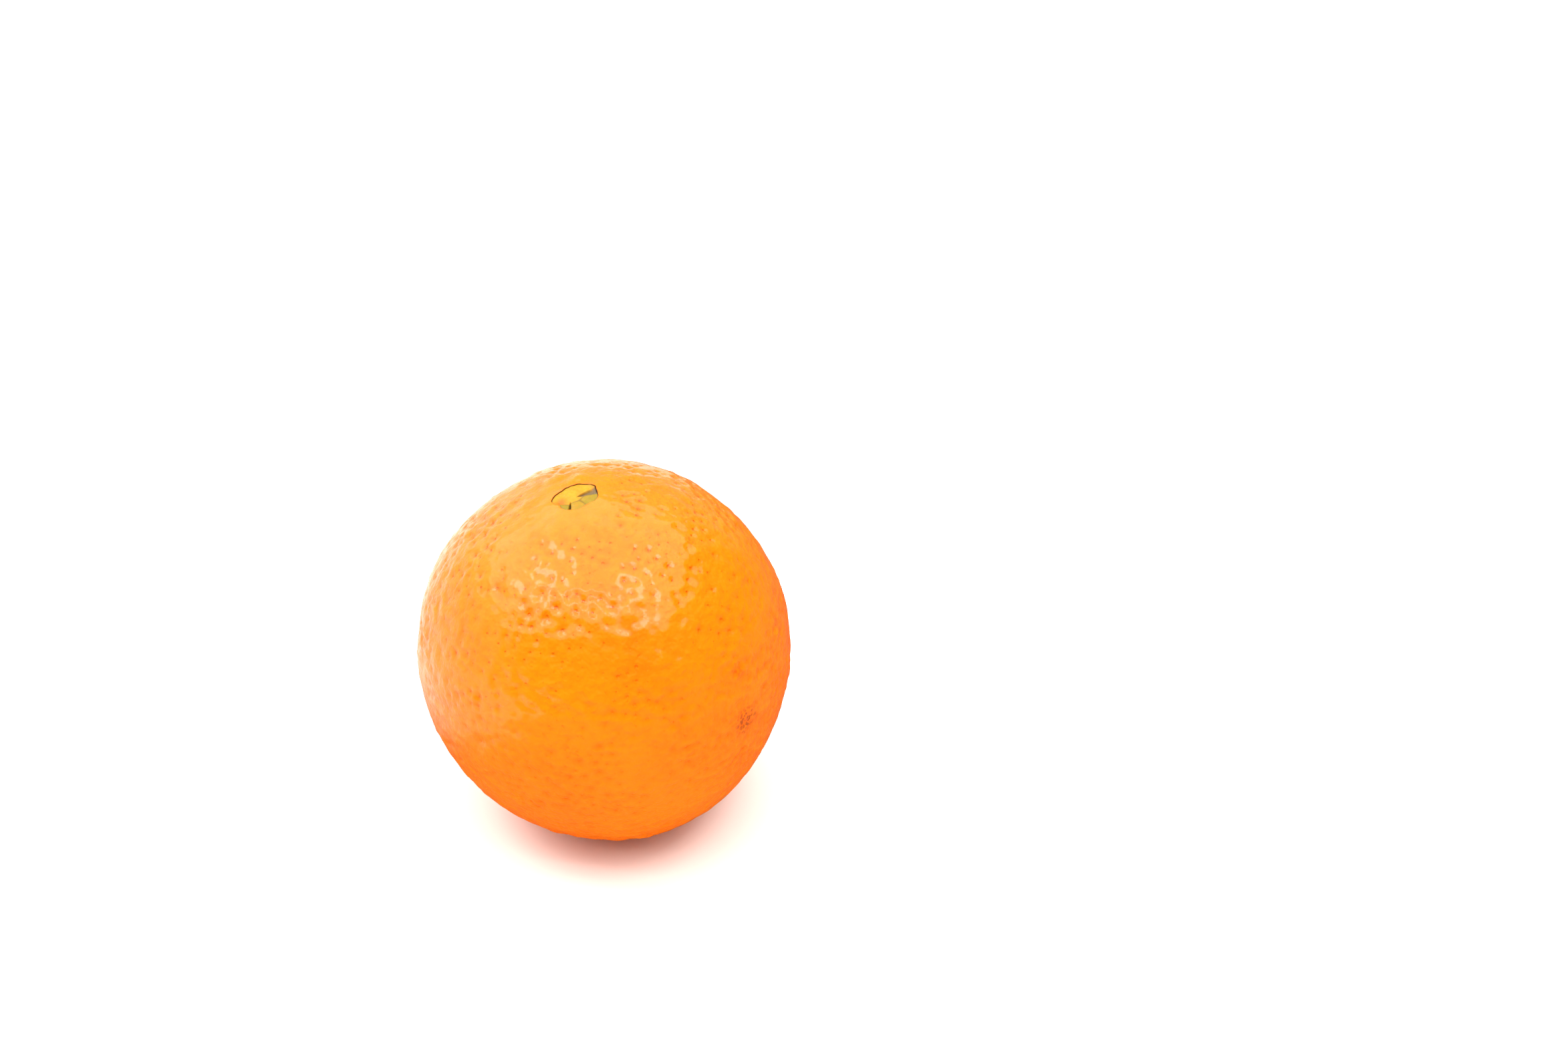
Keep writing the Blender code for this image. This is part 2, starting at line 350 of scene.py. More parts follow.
def makePeel():
    # rows of polar angle and depth: the navel floor, its wall, the lip, then round the body to the stem
    turn = np.arange(peel["stepsRound"]) * math.tau / peel["stepsRound"]
    opening = openingRadius(turn)
    radii, depths = [], []
    for share in np.linspace(*navel["floorShares"], peel["floorRows"]):
        radii.append(opening * share)
        depths.append(np.full_like(turn, navel["wall"]))
    footShare, footDepth = navel["wallFoot"][0], navel["wallFoot"][1] * navel["wall"]
    for share in np.linspace(0, 1, peel["wallRows"], endpoint=False):
        radii.append(opening * (footShare + (1 - footShare) * share))
        depths.append(np.full_like(turn, footDepth + (navel["lip"] - footDepth) * share))
    for angle in np.linspace(0, math.pi / 2, peel["lipRows"]):
        radii.append(opening + navel["lip"] * (1 - math.cos(angle)))
        depths.append(np.full_like(turn, navel["lip"] * (1 - math.sin(angle))))
    for share in np.linspace(0, 1, peel["collarRows"] + 1)[1:]:
        radii.append((opening + navel["lip"]) * (1 - share) + navel["collar"] * share)
        depths.append(np.zeros_like(turn))
    polar = np.array(radii) / meanRadius
    insideRows = peel["floorRows"] + peel["wallRows"]
    lastPolar = math.pi - dishAngle
    bodyPolar = np.linspace(polar[-1, 0], lastPolar, peel["bodyRows"] + 1)[1:]
    dishPolar = np.linspace(lastPolar, math.pi - seatAngle, peel["dishRows"] + 1)[1:]
    seatPolar = np.linspace(math.pi - seatAngle, math.pi, peel["seatRows"] + 1)[1:-1]
    outside = np.concatenate([bodyPolar, dishPolar, seatPolar])
    polar = np.concatenate([polar, np.repeat(outside[:, None], len(turn), axis=1)])
    depth = np.concatenate([np.array(depths), np.zeros((len(outside), len(turn)))])
    turns = np.broadcast_to(turn, polar.shape)
    directions = directionsAt(polar, turns)
    relief, crests, nearest, distance, quiet = peelRelief(directions, turns)
    outward = np.zeros(len(polar))
    outward[insideRows + peel["lipRows"] - 1:] = 1
    outward[insideRows:insideRows + peel["lipRows"]] = np.linspace(0, 1, peel["lipRows"])
    fromRim = (polar * meanRadius - opening - navel["lip"]) / mm
    rimRise = navel["rimRise"] * np.exp(-((fromRim / navel["rimReach"]) ** 2))
    radius = dishedRadius(directions) - depth + rimRise + relief * outward[:, None]
    points = bodyCentre + directions * radius[..., None]
    above = points[..., 2] - restingHeight
    points[..., 2] = restingHeight + 0.5 * (above + np.sqrt(above ** 2 + peel["restRounding"] ** 2))
    first = bodyCentre + navelAxis * (bodyRadius(navelAxis) - navel["wall"])
    last = bodyCentre + stemAxis * (bodyRadius(stemAxis) - stemEnd["dishDepth"])
    piece = skinOverRings("peel", first, points, last)

    def padded(values):
        # the grid's values with the two end points' values added
        flat = values.reshape(-1, *values.shape[2:])
        return np.concatenate([flat[:1], flat, flat[-1:]])

    spotRadius = bodyRadius(poreSpots) - pores["dimpleDepth"] * poreSizes
    spotPlaces = bodyCentre + poreSpots * spotRadius[:, None]
    markPoints(piece, "crests", padded(crests))
    markPoints(piece, "poreSpot", padded(spotPlaces[nearest]))
    markPoints(piece, "poreNear", padded(distance / mm))
    shown = pores["quietSize"] + (1 - pores["quietSize"]) * quiet
    markPoints(piece, "poreSize", padded(poreSizes[nearest] * shown))
    inner = np.zeros(polar.shape)
    inner[:insideRows] = 1
    overLip = np.linspace(1, 0, peel["lipRows"])[:, None]
    inner[insideRows:insideRows + peel["lipRows"]] = overLip ** navel["shadeFall"]
    markPoints(piece, "rimShade", padded(inner))
    return piece


peelPiece = makePeel()
print("peel made:", len(peelPiece.data.vertices), "points")


# the tiny second fruit that fills the navel

fruitlet = {
    "stepsRound": 200,
    "topRows": 52,
    "sideRows": 4,
    "edge": 0.985,  # share of the opening that it fills
    "sink": 0.02 * mm,
    "creaseDepth": 1.15 * mm,
    "deepest": 1.75 * mm,
    "underside": 2.1 * mm,
    "undersideTaper": 0.05,
    "flushEdge": 0.13 * mm,
    "flushFrom": 0.72,  # share of the way out where the top starts to come level with the rim
    # share of the way out where painted shade along the edge starts
    "edgeShadeFrom": 0.92,
    "crispness": 15,
    "riseLimits": (-0.4, 1.1),
    # painted shade in the creases between lobes
    "creaseShares": (0.5, 0.90),  # a lobe's share of the surface where a crease is full and where it ends
    "lobes": [  # mm across and back from the opening's middle, reach, height as a share, how green
        (-0.8, 1.7, 6.5, 1.00, 0.04),
        (3.3, -1.2, 4.4, 0.98, 0.85),
        (1.0, -3.1, 3.6, 0.99, 0.65),
        (-2.1, -3.3, 2.4, 1.00, 1.00),
    ],
    "blush": (-2.7, -1.3, 1.35),  # middle and reach of the amber patch, mm
    "notch": (-0.75, -1.3, 0.10, 0.10),  # where it starts, its half width there, gained per mm, mm
    "notchEdge": (1.0, 0.3),  # none and full, as shares of its half width
    "notchEase": 0.5,  # mm
    "notchDepth": 0.55 * mm,
    "hollowStart": (0.2, -0.3),
    "hollowHeading": (0.86, 0.51),
    "hollowOpening": 0.31,  # half width gained per mm along it
    "hollowEdge": (1.0, 0.55),
    "hollowEase": 1.2,  # mm
    "hollowDepth": 0.50 * mm,
    "grain": {"length": 1.1 * mm, "count": 20, "seed": 21},
    "grainHeight": 0.03 * mm,
}


def lobeSurface(across, back):
    # smooth maximum of domes height*(1 - (distance/reach)^2), with a wedge-shaped hollow pressed in
    rises = np.stack([
        height * (1 - ((across - x) ** 2 + (back - y) ** 2) / reach ** 2)
        for x, y, reach, height, _ in fruitlet["lobes"]
    ])
    powers = np.exp(fruitlet["crispness"] * (rises - rises.max(0)))
    shares = powers / powers.sum(0)
    rise = rises.max(0) + np.log(powers.sum(0)) / fruitlet["crispness"]
    green = np.tensordot(np.array([lobe[4] for lobe in fruitlet["lobes"]]), shares, 1)
    # painted shade in the creases between lobes
    crease = 1 - smoothStep(*fruitlet["creaseShares"], shares.max(0))
    heading = unit(np.array(fruitlet["hollowHeading"]))
    fromStart = across - fruitlet["hollowStart"][0], back - fruitlet["hollowStart"][1]
    along = fromStart[0] * heading[0] + fromStart[1] * heading[1]
    beside = fromStart[1] * heading[0] - fromStart[0] * heading[1]
    halfWidth = np.maximum(along, 0.01) * fruitlet["hollowOpening"]
    # the wedge-shaped hollow: pressed in, and given painted grey shade
    hollow = smoothStep(*fruitlet["hollowEdge"], np.abs(beside) / halfWidth)
    hollow = hollow * smoothStep(0, fruitlet["hollowEase"], along)
    # the notch: pressed in, and given painted near-black shade
    left, top, narrow, gain = fruitlet["notch"]
    below = np.maximum(top - back, 0)
    notch = smoothStep(*fruitlet["notchEdge"], np.abs(across - left) / (narrow + gain * below))
    notch = notch * smoothStep(0, fruitlet["notchEase"], below)
    left, top, reach = fruitlet["blush"]
    blush = np.exp(-((across - left) ** 2 + (back - top) ** 2) / reach ** 2)
    marks = {"green": green, "crease": crease, "hollow": hollow, "notch": notch, "blush": blush}
    return np.clip(rise, *fruitlet["riseLimits"]), marks


def makeFruitlet():
    # rows from the middle of the lobed top out to its edge, then down the side to a closed underside
    turn = np.arange(fruitlet["stepsRound"]) * math.tau / fruitlet["stepsRound"]
    opening = openingRadius(turn)
    share = np.linspace(0, fruitlet["edge"], fruitlet["topRows"] + 1)[1:, None]
    across = share * opening * np.cos(turn) / mm
    back = share * opening * np.sin(turn) / mm
    rise, marks = lobeSurface(across, back)
    depth = fruitlet["sink"] + fruitlet["creaseDepth"] * (1 - rise)
    nearEdge = smoothStep(fruitlet["flushFrom"], fruitlet["edge"], share)
    # painted shade along the edge, where the fruitlet meets the peel
    marks["crease"] = np.maximum(marks["crease"], smoothStep(fruitlet["edgeShadeFrom"], fruitlet["edge"], share))
    depth = depth + (fruitlet["flushEdge"] - depth) * nearEdge
    depth = depth + fruitlet["hollowDepth"] * marks["hollow"] + fruitlet["notchDepth"] * marks["notch"]
    depth = np.minimum(depth, fruitlet["deepest"])
    flat = np.stack([across, back, np.zeros_like(across)], axis=-1) * mm
    depth = depth + fruitlet["grainHeight"] * waves(flat, fruitlet["grain"])
    sideShare = np.linspace(0, 1, fruitlet["sideRows"] + 1)[1:, None]
    sideDepth = depth[-1] + (fruitlet["underside"] - depth[-1]) * sideShare
    sideRadius = opening * (fruitlet["edge"] - fruitlet["undersideTaper"] * sideShare ** 3)
    polar = np.concatenate([share * opening, sideRadius]) / meanRadius
    depth = np.concatenate([depth, sideDepth])
    directions = directionsAt(polar, np.broadcast_to(turn, polar.shape))
    points = bodyCentre + directions * (bodyRadius(directions) - depth)[..., None]
    rise, middle = lobeSurface(np.zeros(1), np.zeros(1))
    firstDepth = fruitlet["sink"] + fruitlet["creaseDepth"] * (1 - rise[0])
    first = bodyCentre + navelAxis * (bodyRadius(navelAxis) - firstDepth)
    last = bodyCentre + navelAxis * (bodyRadius(navelAxis) - fruitlet["underside"])
    piece = skinOverRings("navel_fruitlet", first, points, last)
    for name, values in marks.items():
        # the sides under the lip take full painted crease shade and no other marks
        sides = np.full(fruitlet["sideRows"] * len(turn) + 1, float(name == "crease"))
        markPoints(piece, name, np.concatenate([middle[name], values.ravel(), sides]))
    return piece


fruitletPiece = makeFruitlet()
print("navel fruitlet made:", len(fruitletPiece.data.vertices), "points")


# the dried stem button underneath

button = {
    "width": buttonHigh.y - buttonLow.y,
    "stepsRound": 160,
    "lobes": 5,
    "lobeBend": [(0.15, 1, 0.6)],
    "notch": 0.20,  # share of the half width
    "notchRoundness": 0.55,
    "wobble": [(0.03, 3, 1)],  # share of the half width, how many round, start
    "thickness": 1.15 * mm,
    "lobedFrom": (0.44, 0.8),  # shares of the way out, from a round crown to the full lobes
    "upperSide": (0.3, 0.7),  # shares of the thickness where the creases start and are full
    "lobeCrease": 0.16 * mm,
    "lobeGap": 0.22 * mm,
    "grain": {"length": 1.3 * mm, "count": 30, "seed": 31},
    "grainHeight": 0.05 * mm,
    "grainFrom": (0.1, 0.3),
    "stubWidth": 3.0 * mm,
    "stubWobble": [(0.05, 3, 0), (0.04, 7, 1)],
    "stubHeight": 0.5 * mm,
    "pithDepth": 0.45 * mm,
    "pithEdge": (0.8, 0.5),
    "pithMiddle": 0.1 * mm,
    "woodyFrom": (0.62, 0.40),  # shares of the half width, from green calyx to woody stub
    "bedding": 0.08 * mm,
    "profile": [  # share of the way out, share of the thickness: foot, edge, crown, up to the stub
        (0.86, 0.0), (0.96, 0.12), (1.0, 0.34), (0.985, 0.55), (0.93, 0.72), (0.84, 0.84), (0.72, 0.90),
        (0.60, 0.93), (0.50, 0.97), (0.44, 1.05),
    ],
    "rowsPerStretch": 4,
    "stubProfile": [  # share of the stub's radius, share of its height: outer side, rim, down into the pith
        (1.02, 0.35), (1.0, 0.8), (0.95, 1.0), (0.86, 1.02), (0.78, 0.85), (0.70, 0.35), (0.5, 0.15),
        (0.25, 0.2),
    ],
}


def makeButton():
    # a smooth profile carried round a five-lobed outline, creased along each lobe, then the hollow stub
    turn = np.arange(button["stepsRound"]) * math.tau / button["stepsRound"]
    knots = np.arange(len(button["profile"]))
    finer = np.linspace(0, knots[-1], knots[-1] * button["rowsPerStretch"] + 1)
    outward = np.interp(finer, knots, [share for share, _ in button["profile"]])[:, None]
    upward = np.interp(finer, knots, [share for _, share in button["profile"]])[:, None]
    lobe = np.abs(np.cos(turn * button["lobes"] / 2 + ripple(turn, button["lobeBend"])))
    inset = button["notch"] * (1 - lobe ** button["notchRoundness"])
    outline = button["width"] / 2 * (1 - inset + ripple(turn, button["wobble"]))
    stubRadius = button["stubWidth"] / 2 * (1 + ripple(turn, button["stubWobble"]))
    farOut = smoothStep(*button["lobedFrom"], outward)
    radius = outward * (outline * farOut + button["width"] / 2 * (1 - farOut))
    creased = button["lobeCrease"] * lobe ** 6 + button["lobeGap"] * (1 - lobe) ** 2
    height = upward * button["thickness"] - creased * farOut * smoothStep(*button["upperSide"], upward)
    stubOut = np.array([share for share, _ in button["stubProfile"]])[:, None] * stubRadius
    rim = button["thickness"] * button["profile"][-1][1]
    stubUp = np.array([share for _, share in button["stubProfile"]])[:, None] * button["stubHeight"]
    sunk = smoothStep(*button["pithEdge"], stubOut / (button["stubWidth"] / 2))
    stubUp = rim + stubUp - button["pithDepth"] * sunk
    radius = np.concatenate([radius, stubOut])
    height = np.concatenate([height, np.broadcast_to(stubUp, stubOut.shape)])
    flat = np.stack([radius * np.cos(turn), radius * np.sin(turn), height], axis=-1)
    offSeat = smoothStep(*button["grainFrom"], height / button["thickness"])
    flat[..., 2] += button["grainHeight"] * waves(flat, button["grain"]) * offSeat
    side = unit(np.cross(np.array([0, 1.0, 0]), stemAxis))
    back = np.cross(stemAxis, side)
    seat = bodyCentre + stemAxis * (bodyRadius(stemAxis) - stemEnd["dishDepth"] - button["bedding"])
    points = seat + flat[..., :1] * side + flat[..., 1:2] * back + flat[..., 2:] * stemAxis
    pith = seat + stemAxis * (rim - button["pithDepth"] + button["pithMiddle"])
    piece = skinOverRings("stem_button_dry", seat, points, pith)
    woody = smoothStep(*button["woodyFrom"], radius / (button["width"] / 2))
    markPoints(piece, "woody", np.concatenate([[0], woody.ravel(), [1]]))
    return piece


buttonPiece = makeButton()
print("stem button made:", len(buttonPiece.data.vertices), "points")


# node helpers and materials

def plug(tree, socket, value):
    # links another node's output, or sets a plain value
    if isinstance(value, bpy.types.NodeSocket):
        tree.links.new(value, socket)
    else:
        socket.default_value = value


def addNode(tree, kind, inputs=None, **settings):
    # a shader node of this kind, with its settings, and its inputs linked or set
    node = tree.nodes.new("ShaderNode" + kind)
    for name, value in settings.items():
        setattr(node, name, value)
    for name, value in (inputs or {}).items():
        plug(tree, node.inputs[name], value)
    return node


def calc(tree, operation, *values):
    # the result of one sum on numbers or other nodes' outputs
    node = addNode(tree, "Math", operation=operation)
    for socket, value in zip(node.inputs, values):
        plug(tree, socket, value)
    return node.outputs[0]


def fade(tree, value, low, high, atLow=0.0, atHigh=1.0):
    # eases from atLow to atHigh as value goes from low to high
    return addNode(tree, "MapRange", {
        "Value": value, "From Min": low, "From Max": high, "To Min": atLow, "To Max": atHigh,
    }, interpolation_type="SMOOTHSTEP").outputs["Result"]


def blendColours(tree, share, first, second):
    # first * (1 - share) + second * share
    node = addNode(tree, "Mix", data_type="RGBA")
    plug(tree, node.inputs[0], share)
    plug(tree, node.inputs[6], (*first, 1) if isinstance(first, tuple) else first)
    plug(tree, node.inputs[7], (*second, 1) if isinstance(second, tuple) else second)
    return node.outputs[2]


def noise(tree, place, length, detail=2.0, roughness=0.5):
    # 0 to 1, with features about this many metres long
    return addNode(tree, "TexNoise", {
        "Vector": place, "Scale": 1 / length, "Detail": detail, "Roughness": roughness,
    }).outputs["Fac"]


def patches(tree, place, layer):
    # noise of the layer's length, eased from its first share to its second as it crosses its range
    tone = noise(tree, place, layer["length"], layer.get("detail", 2.0), layer.get("roughness", 0.5))
    return fade(tree, tone, *layer["range"], *layer.get("shares", (0, 1)))


def distanceFrom(tree, place, centre):
    # metres from the place to a point
    return addNode(tree, "VectorMath", {0: place, 1: centre}, operation="DISTANCE").outputs["Value"]


def alongHeading(tree, place, heading):
    # the place's dot product with a unit heading
    heading = tuple(unit(np.array(heading)))
    return addNode(tree, "VectorMath", {0: place, 1: heading}, operation="DOT_PRODUCT").outputs["Value"]


def readPoints(tree, name, output="Fac"):
    # what markPoints stored for each point
    return addNode(tree, "Attribute", attribute_name=name).outputs[output]


def startMaterial(name):
    # an empty material, its nodes, its shader and the place on the object
    material = bpy.data.materials.new(name)
    material.use_nodes = True
    tree = material.node_tree
    place = addNode(tree, "TexCoord").outputs["Object"]
    return material, tree, tree.nodes["Principled BSDF"], place


def setShader(shader, values):
    # plain values that are the same all over a piece
    for name, value in values.items():
        shader.inputs[name].default_value = value


def addBump(tree, shader, height):
    # height in mm becomes the shader's bump
    bump = addNode(tree, "Bump", {"Strength": 1.0, "Distance": mm, "Height": height})
    plug(tree, shader.inputs["Normal"], bump.outputs["Normal"])


rind = {
    "deep": (0.93, 0.134, 0.001),
    "light": (0.95, 0.170, 0.001),
    "yellowish": (0.96, 0.185, 0.004),
    # painted light: the paler colour blended in on the relief's crests
    "crestLight": (0.95, 0.184, 0.001),
    # painted shade: the deeper colour blended into the relief's dimples
    "hollow": (0.90, 0.128, 0.000),
    "freckle": (0.34, 0.058, 0.004),
    "pore": (0.40, 0.135, 0.000),
    "smallPore": (0.82, 0.128, 0.000),
    "rim": (0.060, 0.022, 0.004),
    "drift": {"length": 26 * mm, "detail": 3.0, "range": (0.35, 0.68)},  # from deep to light
    "mottle": {
        "length": 1.3 * mm, "detail": 3.0, "roughness": 0.6, "range": (0.38, 0.66), "shares": (0, 0.6),
    },
    # painted light on the crests
    "crestLightTint": (-0.10, 0.10, 0, 0.55),  # mm of relief at each end, share of the tint at each end
    # painted shade in the dimples: mm of relief at each end, share of the tint at each end
    "hollowTint": (-0.05, -0.40, 0, 0.70),
    "navelTint": (11 * mm, 5 * mm, 0, 0.40),
    "calm": (50 * mm, 28 * mm, 0.36, 1),  # pores are fainter far from the navel: distances, then shares
    "sure": (0.54, 0.44),  # mm from a pore's middle, beyond which the nearest one is in doubt
    "core": (0.38, 0.12),  # a pore's dark middle, mm from none to full
    "halo": (0.47, 0.08),
    "haloShare": 0.30,
    "coreDepth": 0.130,  # mm
    "pitDepth": 0.120,
    "coreRoughness": 0.2,
    "boldness": {"length": 9 * mm, "range": (0.35, 0.65), "shares": (0.30, 0.80)},
    "smallSpacing": 1.55 * mm,
    "smallSize": (0.17, 0.06),  # share of the spacing, from none to full
    "smallPatches": {"length": 6 * mm, "range": (0.40, 0.52)},
    "smallShare": 0.55,
    "smallDepth": 0.045,
    "freckles": [  # where from the fruit's middle, how wide, how strong
        ((0.765, -0.643, 0.040), 5.6 * mm, 1.00),
        ((0.724, -0.605, 0.331), 2.6 * mm, 0.55),
        ((0.916, -0.211, 0.340), 2.4 * mm, 0.60),
        ((0.468, -0.204, 0.860), 1.8 * mm, 0.50),
        ((-0.35, 0.90, -0.25), 3.4 * mm, 0.80),
        ((-0.80, -0.10, -0.55), 2.6 * mm, 0.60),
    ],
    "freckleSpacing": 0.75 * mm,
    "freckleEdge": 0.5 * mm,
    "freckleSize": (0.82, 0.58, 0.25, 1),
    "freckleCore": 0.2,  # share of a patch's reach inside which it is full
    "freckleShare": 0.90,
    "gloss": {"length": 1.1 * mm, "detail": 3.0, "range": (0.3, 0.7), "shares": (0.30, 0.44)},
    "grain": (1.3 * mm, 0.400),  # length, height in mm
    "fineGrain": (0.40 * mm, 0.006),
    "shader": {
        "IOR": 1.42,
        "Specular IOR Level": 0.045,
        "Coat Weight": 0.43,
        "Coat Roughness": 0.10,
        "Subsurface Weight": 0.12,
        "Subsurface Radius": (1.0, 0.35, 0.08),
        "Subsurface Scale": 1.6 * mm,
    },
}


def freckleShare(tree, place):
    # small irregular brown specks inside a few soft-edged patches, thinning out towards each patch's edge
    covered = 0.0
    for heading, reach, strength in rind["freckles"]:
        centre = bodyCentre + unit(np.array(heading)) * meanRadius
        away = distanceFrom(tree, place, tuple(centre))
        patch = fade(tree, away, reach, rind["freckleCore"] * reach, 0, strength)
        covered = calc(tree, "MAXIMUM", patch, covered)
    cells = addNode(tree, "TexVoronoi", {"Vector": place, "Scale": 1 / rind["freckleSpacing"]})
    edge = noise(tree, place, rind["freckleEdge"], 3.0)
    ragged = calc(tree, "MULTIPLY_ADD", edge, 0.5, cells.outputs["Distance"])
    speck = fade(tree, ragged, *rind["freckleSize"])
    return calc(tree, "MULTIPLY", calc(tree, "MULTIPLY", speck, covered), rind["freckleShare"])


def makeRind():
    # orange skin: drifting hue, mottling, painted light on the relief's crests and painted shade in its
    # dimples, dark-cored pores, tiny pores between, freckles, dark navel rim
    material, tree, shader, place = startMaterial("orange_rind")
    fromNavel = distanceFrom(tree, place, tuple(bodyCentre + navelAxis * meanRadius))
    calm = fade(tree, fromNavel, *rind["calm"])

    # distance to the nearest pore's middle, as a share of its size
    fromPore = distanceFrom(tree, place, readPoints(tree, "poreSpot", "Vector"))
    fromPore = calc(tree, "DIVIDE", calc(tree, "DIVIDE", fromPore, mm), readPoints(tree, "poreSize"))
    sure = calc(tree, "MULTIPLY", fade(tree, readPoints(tree, "poreNear"), *rind["sure"]), calm)
    core = calc(tree, "MULTIPLY", fade(tree, fromPore, *rind["core"]), sure)
    halo = calc(tree, "MULTIPLY", fade(tree, fromPore, *rind["halo"]), sure)
    cells = addNode(tree, "TexVoronoi", {"Vector": place, "Scale": 1 / rind["smallSpacing"]})
    small = fade(tree, cells.outputs["Distance"], *rind["smallSize"])
    small = calc(tree, "MULTIPLY", small, patches(tree, place, rind["smallPatches"]))

    # colours, from the broadest to the finest
    crests = readPoints(tree, "crests")
    # painted shade where the relief sinks, fainter far from the navel
    sunk = calc(tree, "MULTIPLY", fade(tree, crests, *rind["hollowTint"]), calm)
    bold = calc(tree, "MULTIPLY", core, patches(tree, place, rind["boldness"]))
    colour = blendColours(tree, patches(tree, place, rind["drift"]), rind["deep"], rind["light"])
    for share, tint in (
        (patches(tree, place, rind["mottle"]), "light"),
        # painted light on the crests, then painted shade in the dimples
        (fade(tree, crests, *rind["crestLightTint"]), "crestLight"),
        (sunk, "hollow"),
        (fade(tree, fromNavel, *rind["navelTint"]), "yellowish"),
        (calc(tree, "MULTIPLY", halo, rind["haloShare"]), "smallPore"),
        (calc(tree, "MULTIPLY", small, rind["smallShare"]), "smallPore"),
        (bold, "pore"),
        (freckleShare(tree, place), "freckle"),
        (readPoints(tree, "rimShade"), "rim"),
    ):
        colour = blendColours(tree, share, colour, rind[tint])
    plug(tree, shader.inputs["Base Color"], colour)
    rough = calc(tree, "MULTIPLY_ADD", core, rind["coreRoughness"], patches(tree, place, rind["gloss"]))
    plug(tree, shader.inputs["Roughness"], rough)
    setShader(shader, rind["shader"])
    height = calc(tree, "MULTIPLY", core, -rind["coreDepth"])
    height = calc(tree, "MULTIPLY_ADD", halo, -rind["pitDepth"], height)
    height = calc(tree, "MULTIPLY_ADD", small, -rind["smallDepth"], height)
    for length, rise in (rind["grain"], rind["fineGrain"]):
        height = calc(tree, "MULTIPLY_ADD", noise(tree, place, length, 1.0), rise, height)
    addBump(tree, shader, height)
    return material


lobeSkin = {
    "yellow": (0.47, 0.235, 0.006),
    "amber": (0.50, 0.105, 0.001),
    "green": (0.230, 0.158, 0.005),
    # painted shade: the colour of the creases and the edge
    "crease": (0.16, 0.090, 0.010),
    # painted shade: the grey colour of the hollow
    "hollow": (0.12, 0.085, 0.045),
    # painted shade: the near-black colour of the notch
    "notch": (0.060, 0.030, 0.004),
    "creaseShare": 0.80,
    "hollowShare": 0.90,
    "amberPatches": {"length": 3.0 * mm, "range": (0.42, 0.66), "shares": (0, 0.3)},
    "streaks": {"length": 0.8 * mm, "detail": 3.0, "range": (0.3, 0.7), "shares": (-0.12, 0.12)},
    "gloss": {"length": 0.6 * mm, "range": (0.3, 0.7), "shares": (0.34, 0.52)},
    "grain": (0.5 * mm, 0.05),  # length, height in mm
    "shader": {
        "IOR": 1.45,
        "Specular IOR Level": 0.25,
        "Subsurface Weight": 0.15,
        "Subsurface Radius": (1.0, 0.6, 0.15),
        "Subsurface Scale": 0.8 * mm,
    },
}


def makeLobeSkin():
    # yellow lobes that turn green one by one, darker with painted shade in the creases and along the edge,
    # grey with painted shade in the hollow, near black with painted shade in the notch
    material, tree, shader, place = startMaterial("navel_lobes")
    amber = calc(tree, "MAXIMUM", patches(tree, place, lobeSkin["amberPatches"]), readPoints(tree, "blush"))
    green = calc(tree, "ADD", readPoints(tree, "green"), patches(tree, place, lobeSkin["streaks"]))
    colour = blendColours(tree, amber, lobeSkin["yellow"], lobeSkin["amber"])
    for share, tint in (
        (green, "green"),
        (calc(tree, "MULTIPLY", readPoints(tree, "crease"), lobeSkin["creaseShare"]), "crease"),
        (calc(tree, "MULTIPLY", readPoints(tree, "hollow"), lobeSkin["hollowShare"]), "hollow"),
        (readPoints(tree, "notch"), "notch"),
    ):
        colour = blendColours(tree, share, colour, lobeSkin[tint])
    plug(tree, shader.inputs["Base Color"], colour)
    plug(tree, shader.inputs["Roughness"], patches(tree, place, lobeSkin["gloss"]))
    setShader(shader, lobeSkin["shader"])
    length, rise = lobeSkin["grain"]
    addBump(tree, shader, calc(tree, "MULTIPLY", noise(tree, place, length, 3.0), rise))
    return material


dryStem = {
    "calyx": (0.19, 0.20, 0.060),
    "brown": (0.20, 0.105, 0.035),
    "pith": (0.42, 0.33, 0.17),
    "speck": (0.09, 0.05, 0.02),
    "brownPatches": {"length": 1.6 * mm, "detail": 4.0, "roughness": 0.65, "range": (0.38, 0.64)},
    "specks": {"length": 0.45 * mm, "detail": 3.0, "range": (0.52, 0.66), "shares": (0, 0.6)},
    "gloss": {"length": 0.5 * mm, "range": (0.3, 0.7), "shares": (0.62, 0.84)},
    "grain": (0.4 * mm, 0.16),  # length, height in mm
}


def makeDryStem():
    # dull brownish green with brown patches, dark specks and a paler, fibrous stub
    material, tree, shader, place = startMaterial("dry_calyx")
    brown = patches(tree, place, dryStem["brownPatches"])
    colour = blendColours(tree, brown, dryStem["calyx"], dryStem["brown"])
    colour = blendColours(tree, readPoints(tree, "woody"), colour, dryStem["pith"])
    colour = blendColours(tree, patches(tree, place, dryStem["specks"]), colour, dryStem["speck"])
    plug(tree, shader.inputs["Base Color"], colour)
    plug(tree, shader.inputs["Roughness"], patches(tree, place, dryStem["gloss"]))
    length, rise = dryStem["grain"]
    addBump(tree, shader, calc(tree, "MULTIPLY", noise(tree, place, length, 5.0, 0.6), rise))
    return material


for piece, material, slotName, nodes in (
    (peelPiece, makeRind(), "peel", ["fruit"]),
    (fruitletPiece, makeLobeSkin(), "fruitlet", []),
    (buttonPiece, makeDryStem(), "dry_stem", ["stem_button"]),
):
    piece.data.materials.append(material)
    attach(piece, "root")
    if nodes:
        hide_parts(*nodes)
print("materials done")


# floor, light and camera

